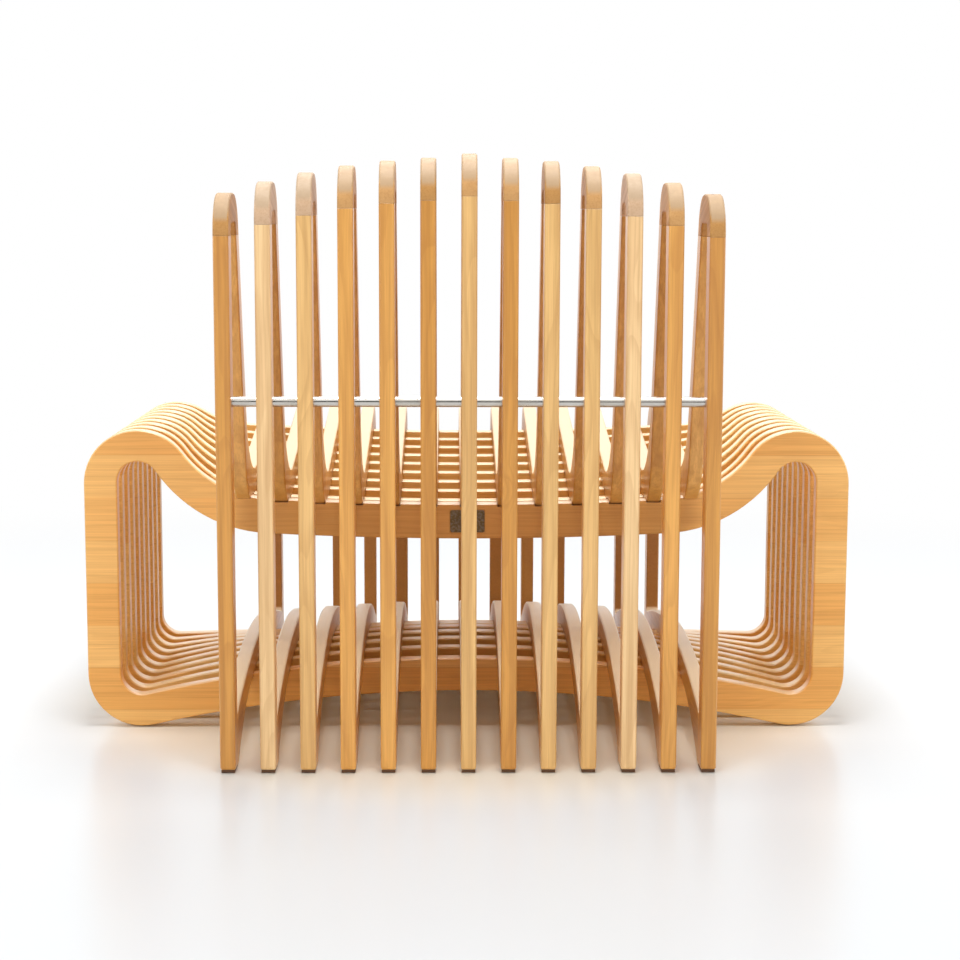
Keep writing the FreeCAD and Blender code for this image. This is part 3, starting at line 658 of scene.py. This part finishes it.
def panel_wood(name, colour, settings, painted_shade_share):
    """Wood of the ribs: level strips glued into a panel, with painted shade behind the posts by the
    given share.
    """
    material, tree, shader = new_material(name)
    place = tree.add("TexCoord").outputs["Object"]
    front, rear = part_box("cross_rib_01")
    row = use_group(tree, "board shift", Vector=place, Row=(0.0, -1.0, 0.0),
                    Pitch=settings.rib_pitch, First=-(front.y + rear.y) / 2)
    # turned so that the grain lies along X and the strips are stacked up Z
    strips = use_group(tree, "glued strips", Vector=tree.turned(place, about_y=90.0),
                       Width=settings.stave_width, Chance=row.outputs["Chance"])
    fine = tree.scaled(strips.outputs["Shift"], (1.6, 1.6, 0.8))
    grain = use_group(tree, "sawn grain", Vector=fine,
                      Colour=(*colour, 1.0), Bands=0.18, Lines=0.14, Knots=0.7,
                      Along=(1.0, 0.0, 0.0))
    toned = tree.tint(grain.outputs["Colour"], STRIP_SHADE,
                      tree.ramp(strips.outputs["Tone"], 0.60, 0.95))
    joined = tree.tint(toned, STRIP_GLUE, tree.math("MULTIPLY", strips.outputs["Joint"], 0.5))
    # between the frames: painted shade on the seat bar, and less painted top light on the bottom
    # rail
    across = tree.math("ABSOLUTE", tree.part(place, "X"))
    between = tree.ramp(across, ROW_END, ROW_PAST, 1.0, 0.0)
    high = tree.ramp(tree.part(place, "Z"), RAIL_LIMIT, SEAT_LIMIT)
    painted_shade_area = tree.math("MULTIPLY", between, high)
    with_painted_shade = tree.tint(joined, PAINTED_SHADE, tree.math("MULTIPLY", painted_shade_area, painted_shade_share))
    low = tree.math("MULTIPLY", between, tree.math("SUBTRACT", 1.0, high))
    share = tree.math("MULTIPLY_ADD", low, -RIB_PAINTED_LIGHT, RIB_PAINTED_LIGHT)
    painted_top_light = with_painted_top_light(tree, with_painted_shade, settings.painted_top_light, low=0.35, high=0.90, share=share)
    # the varnish is thin on the sawn edges and full on top
    upward = tree.part(tree.add("TexCoord").outputs["Normal"], "Z")
    varnish = tree.ramp(upward, 0.1, 0.6, 0.06, 0.35)
    shader.inputs["Specular IOR Level"].default_value = 0.36
    finish_wood(tree, shader, place, settings, painted_top_light, grain, roughness=0.34, coat=varnish)
    return material


def polished_steel(colour):
    """Steel rod with fine rings from turning and faint smudges."""
    material, tree, shader = new_material("polished steel")
    place = tree.add("TexCoord").outputs["Object"]
    rings = tree.noise(tree.scaled(place, (900.0, 6.0, 6.0)), 1.0, 2.0)
    smudge = tree.noise(place, 22.0, 4.0)
    smudged = [value * share for value, share in zip(colour, SMUDGE_SHADE)]
    tree.feed(shader.inputs["Base Color"],
              tree.blend(tree.ramp(smudge, 0.35, 0.7), (*colour, 1.0), (*smudged, 1.0)))
    tree.feed(shader.inputs["Roughness"], tree.ramp(smudge, 0.3, 0.75, 0.16, 0.30))
    shader.inputs["Metallic"].default_value = 1.0
    tree.relief(shader, rings, strength=0.05, distance=0.0002)
    return material


def moulded_plastic(colour):
    """Dark glides with a fine moulded texture and scuffed lower edges."""
    material, tree, shader = new_material("moulded plastic")
    place = tree.add("TexCoord").outputs["Object"]
    speckle = tree.noise(place, 1400.0, 2.0)
    scuff = tree.ramp(tree.noise(place, 160.0, 4.0), 0.5, 0.7)
    low = tree.ramp(tree.part(place, "Z"), 0.0, 0.002, 1.0, 0.0)
    worn = tree.math("MULTIPLY", scuff, low)
    scuffed = brighter(colour, times=2.2, plus=0.01)
    tree.feed(shader.inputs["Base Color"], tree.blend(worn, (*colour, 1.0), scuffed))
    tree.feed(shader.inputs["Roughness"], tree.ramp(speckle, 0.3, 0.7, 0.48, 0.62))
    tree.relief(shader, speckle, strength=0.2, distance=0.0001)
    return material


def burnished_plate(colour):
    """Blank dark plate, brushed along its length, dulled in patches and worn bright at its edge."""
    material, tree, shader = new_material("burnished plate")
    place = tree.add("TexCoord").outputs["Object"]
    brush = tree.noise(tree.scaled(place, (30.0, 30.0, 2600.0)), 1.0, 3.0)
    wear = use_group(tree, "edge wear", Width=0.0006, Vector=place).outputs["Wear"]
    bright = brighter(colour, times=3.0, plus=0.02)
    brushed = tree.blend(tree.ramp(brush, 0.35, 0.7, 0.0, 0.35), (*colour, 1.0), bright)
    # grey patches where the dark finish has gone dull
    patches = tree.ramp(tree.noise(place, 300.0, 4.0, 0.6), 0.42, 0.60, 0.0, 0.8)
    mottled = tree.blend(patches, brushed, DULL_METAL)
    tree.feed(shader.inputs["Base Color"], tree.blend(wear, mottled, bright))
    brushed_gloss = tree.ramp(brush, 0.3, 0.7, 0.30, 0.46)
    tree.feed(shader.inputs["Roughness"], tree.math("MULTIPLY_ADD", patches, 0.2, brushed_gloss))
    shader.inputs["Metallic"].default_value = 0.6
    tree.relief(shader, brush, strength=0.1, distance=0.0001)
    return material


def dress(piece, material):
    """Gives a piece one material."""
    piece.data.materials.clear()
    piece.data.materials.append(material)


def dress_frames(prefix, tones, make):
    """Gives each frame's board the wood of its own tone."""
    settings = bpy.context.scene.chair_wood
    made = {}
    for number, tone in enumerate(tones.split(), start=1):
        if tone not in made:
            made[tone] = make("%s %s" % (prefix, tone), getattr(settings, tone), settings)
        dress(NODES["%s_%02d" % (prefix, number)], made[tone])


# Operators for the chair

class CHAIR_OT_effects(bpy.types.Operator):
    """Build the shared grain, strip and wear effects"""

    bl_idname = "chair.effects"
    bl_label = "Shared Effects"

    def execute(self, context):
        build_board_shift()
        build_grain()
        build_staves()
        build_edge_wear()
        return {"FINISHED"}


class CHAIR_OT_posts(bpy.types.Operator):
    """Give the rear posts their upright grain"""

    bl_idname = "chair.posts"
    bl_label = "Rear Posts"

    def execute(self, context):
        dress_frames("rear_post", POST_TONES, upright_wood)
        return {"FINISHED"}


class CHAIR_OT_tops(bpy.types.Operator):
    """Give the rounded top blocks their own tone"""

    bl_idname = "chair.tops"
    bl_label = "Top Blocks"

    def execute(self, context):
        dress_frames("top_block", TOP_TONES, block_wood)
        return {"FINISHED"}


class CHAIR_OT_loops(bpy.types.Operator):
    """Give the seat loops their wood"""

    bl_idname = "chair.loops"
    bl_label = "Seat Loops"

    def execute(self, context):
        dress_frames("seat_loop", LOOP_TONES, loop_wood)
        return {"FINISHED"}


class CHAIR_OT_ribs(bpy.types.Operator):
    """Give the cross ribs their glued panel"""

    bl_idname = "chair.ribs"
    bl_label = "Cross Ribs"

    def execute(self, context):
        settings = context.scene.chair_wood
        # the rearmost rib gets the full painted shade between the posts
        dress(NODES["cross_rib_01"], panel_wood("rib wood", settings.rib, settings, 1.0))
        # the inner ribs get no painted shade, and their own paler colour as painted light
        inner = panel_wood("inner rib wood", settings.inner_rib, settings, 0.0)
        for number in range(2, RIB_COUNT + 1):
            dress(NODES["cross_rib_%02d" % number], inner)
        return {"FINISHED"}


class CHAIR_OT_rod(bpy.types.Operator):
    """Give the tie rod its polish"""

    bl_idname = "chair.rod"
    bl_label = "Tie Rod"

    def execute(self, context):
        dress(NODES["back_tie_rod"], polished_steel(context.scene.chair_metal.steel))
        return {"FINISHED"}


class CHAIR_OT_glides(bpy.types.Operator):
    """Give the foot glides their plastic"""

    bl_idname = "chair.glides"
    bl_label = "Foot Glides"

    def execute(self, context):
        plastic = moulded_plastic(context.scene.chair_metal.glide)
        dress(NODES["rear_foot_glides"], plastic)
        dress(NODES["front_foot_glides"], plastic)
        return {"FINISHED"}


class CHAIR_OT_plate(bpy.types.Operator):
    """Finish the blank plate and add its two screws"""

    bl_idname = "chair.plate"
    bl_label = "Plate"

    def execute(self, context):
        settings = context.scene.chair_metal
        metal = burnished_plate(settings.plate)
        dress(NODES["name_plate"], metal)
        low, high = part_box("name_plate")
        inset = SCREW_INSET * settings.screw_radius
        for side, across in (("right", low.x + inset), ("left", high.x - inset)):
            screw = domed_screw("plate_screw_" + side, settings.screw_radius,
                                Vector((across, high.y, (low.z + high.z) / 2)))
            dress(screw, metal)
            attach(screw, "root")
        return {"FINISHED"}


def domed_screw(name, radius, place):
    """Small domed screw head with a slot, sunk to half its thickness and facing the rear."""
    thickness = radius * SCREW_THICKNESS
    bpy.ops.object.select_all(action="DESELECT")
    bpy.ops.mesh.primitive_cylinder_add(
        vertices=24, radius=radius, depth=thickness, location=place,
        rotation=(radians(-90), 0.0, 0.0))
    screw = bpy.context.object
    screw.name = name
    bpy.ops.object.transform_apply(location=True, rotation=True, scale=True)
    dome = screw.modifiers.new("dome", "BEVEL")
    dome.width = radius * SCREW_ROUNDING
    dome.segments = 3
    bpy.ops.object.modifier_apply(modifier="dome")
    bpy.ops.object.select_all(action="DESELECT")
    bpy.ops.mesh.primitive_cube_add(size=radius, location=place + Vector((0.0, thickness / 2, 0.0)))
    blade = bpy.context.object
    blade.scale = SLOT_SHARES
    bpy.ops.object.transform_apply(location=True, rotation=True, scale=True)
    bpy.ops.object.select_all(action="DESELECT")
    screw.select_set(True)
    bpy.context.view_layer.objects.active = screw
    slot = screw.modifiers.new("slot", "BOOLEAN")
    slot.operation = "DIFFERENCE"
    slot.object = blade
    bpy.ops.object.modifier_apply(modifier="slot")
    bpy.data.objects.remove(blade, do_unlink=True)
    bpy.ops.object.shade_smooth_by_angle(angle=radians(40))
    return screw


# Operators for the studio

class CHAIR_OT_stage(bpy.types.Operator):
    """Lay the floor and light the studio"""

    bl_idname = "chair.stage"
    bl_label = "Floor and Lamps"

    def execute(self, context):
        settings = context.scene.chair_stage
        context.scene.view_settings.view_transform = "Standard"
        lay_floor(settings)
        for values in LAMPS:
            lamp(*values)
        stand_dark_wall()
        even_sky(settings)
        return {"FINISHED"}


class CHAIR_OT_camera(bpy.types.Operator):
    """Place the camera behind the chair"""

    bl_idname = "chair.camera"
    bl_label = "Camera"

    def execute(self, context):
        settings = context.scene.chair_stage
        data = bpy.data.cameras.new("camera")
        data.lens = settings.lens
        data.sensor_width = SENSOR_WIDTH
        data.clip_end = CLIP_END
        camera = bpy.data.objects.new("camera", data)
        context.scene.collection.objects.link(camera)
        turn = Euler((radians(90) - settings.pitch, 0.0, radians(180) + settings.heading))
        spin = Matrix.Rotation(settings.roll, 3, "Z")
        camera.rotation_euler = (turn.to_matrix() @ spin).to_euler()
        camera.location = settings.eye
        context.scene.camera = camera
        return {"FINISHED"}


def lay_floor(settings):
    """Wide pale floor, warmer and brighter under the chair as painted bounce light, that turns to
    pure white away from the chair.
    """
    bpy.ops.object.select_all(action="DESELECT")
    bpy.ops.mesh.primitive_plane_add(size=FLOOR_SIZE, location=(0.0, 0.0, 0.0))
    floor = bpy.context.object
    floor.name = "floor"
    material, tree = bare_material("floor")
    shader = tree.add("BsdfPrincipled")
    shader.inputs["Roughness"].default_value = 0.28
    shader.inputs["Specular IOR Level"].default_value = 0.4
    white = tree.add("Emission")
    place = tree.add("TexCoord").outputs["Object"]
    gap = tree.add("VectorMath", operation="LENGTH")
    tree.feed(gap.inputs[0], tree.scaled(place, (1.0, 1.0, 0.0), (0.0, 0.05, 0.0)))
    outside = tree.ramp(gap.outputs["Value"], *MIDDLE_ENDS)
    # warmer, brighter floor under the chair as painted bounce light
    tree.feed(shader.inputs["Base Color"],
              tree.blend(outside, (*settings.floor_painted_bounce, 1.0), (*settings.floor, 1.0)))
    mix = tree.add("MixShader")
    tree.feed(mix.inputs[0], tree.ramp(gap.outputs["Value"], *TURNS_WHITE))
    tree.feed(mix.inputs[1], shader.outputs["BSDF"])
    tree.feed(mix.inputs[2], white.outputs["Emission"])
    output = tree.add("OutputMaterial")
    tree.feed(output.inputs["Surface"], mix.outputs["Shader"])
    floor.data.materials.append(material)


def lamp(name, place, target, width, length, power):
    """Soft lamp that faces a point."""
    data = bpy.data.lights.new(name, "AREA")
    data.shape = "RECTANGLE"
    data.size = width
    data.size_y = length
    data.energy = power
    light = bpy.data.objects.new(name, data)
    bpy.context.scene.collection.objects.link(light)
    light.location = place
    facing = Vector(target) - Vector(place)
    light.rotation_euler = facing.to_track_quat("-Z", "Y").to_euler()


def stand_dark_wall():
    """Dark end of the studio behind the camera, met by reflections alone."""
    bpy.ops.object.select_all(action="DESELECT")
    bpy.ops.mesh.primitive_plane_add(
        size=1.0, location=WALL_PLACE, rotation=(radians(90), 0.0, 0.0))
    wall = bpy.context.object
    wall.name = "dark wall"
    wall.scale = (WALL_WIDTH, WALL_HEIGHT, 1.0)
    bpy.ops.object.transform_apply(location=True, rotation=True, scale=True)
    wall.visible_camera = False
    wall.visible_diffuse = False
    wall.visible_shadow = False
    material, _, shader = new_material("dark wall")
    shader.inputs["Base Color"].default_value = WALL_COLOUR
    shader.inputs["Roughness"].default_value = 0.9
    dress(wall, material)


def even_sky(settings):
    """Even light from all round, seen as plain white."""
    world = bpy.data.worlds.new("studio")
    bpy.context.scene.world = world
    world.use_nodes = True
    world.node_tree.nodes.clear()
    tree = Tree(world.node_tree)
    dim = tree.add("Background")
    dim.inputs["Strength"].default_value = settings.sky
    bright = tree.add("Background")
    bright.inputs["Color"].default_value = (1.0, 1.0, 1.0, 1.0)
    dim.inputs["Color"].default_value = SKY_COLOUR
    path = tree.add("LightPath")
    seen = tree.math("MAXIMUM", path.outputs["Is Camera Ray"], path.outputs["Is Glossy Ray"])
    seen = tree.math("MAXIMUM", seen, path.outputs["Is Transmission Ray"])
    # polished surfaces meet a little more than plain white
    glow = tree.math("MULTIPLY_ADD", path.outputs["Is Glossy Ray"], SKY_GLOW, 1.0)
    tree.feed(bright.inputs["Strength"], glow)
    mix = tree.add("MixShader")
    tree.feed(mix.inputs[0], seen)
    tree.feed(mix.inputs[1], dim.outputs["Background"])
    tree.feed(mix.inputs[2], bright.outputs["Background"])
    output = tree.add("OutputWorld")
    tree.feed(output.inputs["Surface"], mix.outputs["Shader"])


# Sidebar and registration

STEPS = (
    CHAIR_OT_effects,
    CHAIR_OT_posts,
    CHAIR_OT_tops,
    CHAIR_OT_loops,
    CHAIR_OT_ribs,
    CHAIR_OT_rod,
    CHAIR_OT_glides,
    CHAIR_OT_plate,
    CHAIR_OT_stage,
    CHAIR_OT_camera,
)


class CHAIR_PT_sidebar(bpy.types.Panel):
    """Settings and steps of the chair"""

    bl_idname = "CHAIR_PT_sidebar"
    bl_label = "Lounge Chair"
    bl_space_type = "VIEW_3D"
    bl_region_type = "UI"
    bl_category = "Lounge Chair"

    def draw(self, context):
        for group in (context.scene.chair_wood, context.scene.chair_metal,
                      context.scene.chair_stage):
            box = self.layout.box()
            for name in group.__annotations__:
                box.prop(group, name)
        for step in STEPS:
            self.layout.operator(step.bl_idname)


SETTINGS = {
    "chair_wood": ChairWoodSettings,
    "chair_metal": ChairMetalSettings,
    "chair_stage": ChairStageSettings,
}


def register():
    for name, group in SETTINGS.items():
        bpy.utils.register_class(group)
        setattr(bpy.types.Scene, name, bpy.props.PointerProperty(type=group))
    for step in STEPS:
        bpy.utils.register_class(step)
    bpy.utils.register_class(CHAIR_PT_sidebar)


def unregister():
    bpy.utils.unregister_class(CHAIR_PT_sidebar)
    for step in reversed(STEPS):
        bpy.utils.unregister_class(step)
    for name, group in SETTINGS.items():
        delattr(bpy.types.Scene, name)
        bpy.utils.unregister_class(group)


def main():
    register()
    bpy.ops.chair.effects()
    bpy.ops.chair.posts()
    bpy.ops.chair.tops()
    bpy.ops.chair.loops()
    bpy.ops.chair.ribs()
    bpy.ops.chair.rod()
    bpy.ops.chair.glides()
    bpy.ops.chair.plate()
    bpy.ops.chair.stage()
    bpy.ops.chair.camera()


if __name__ == "__main__":
    main()
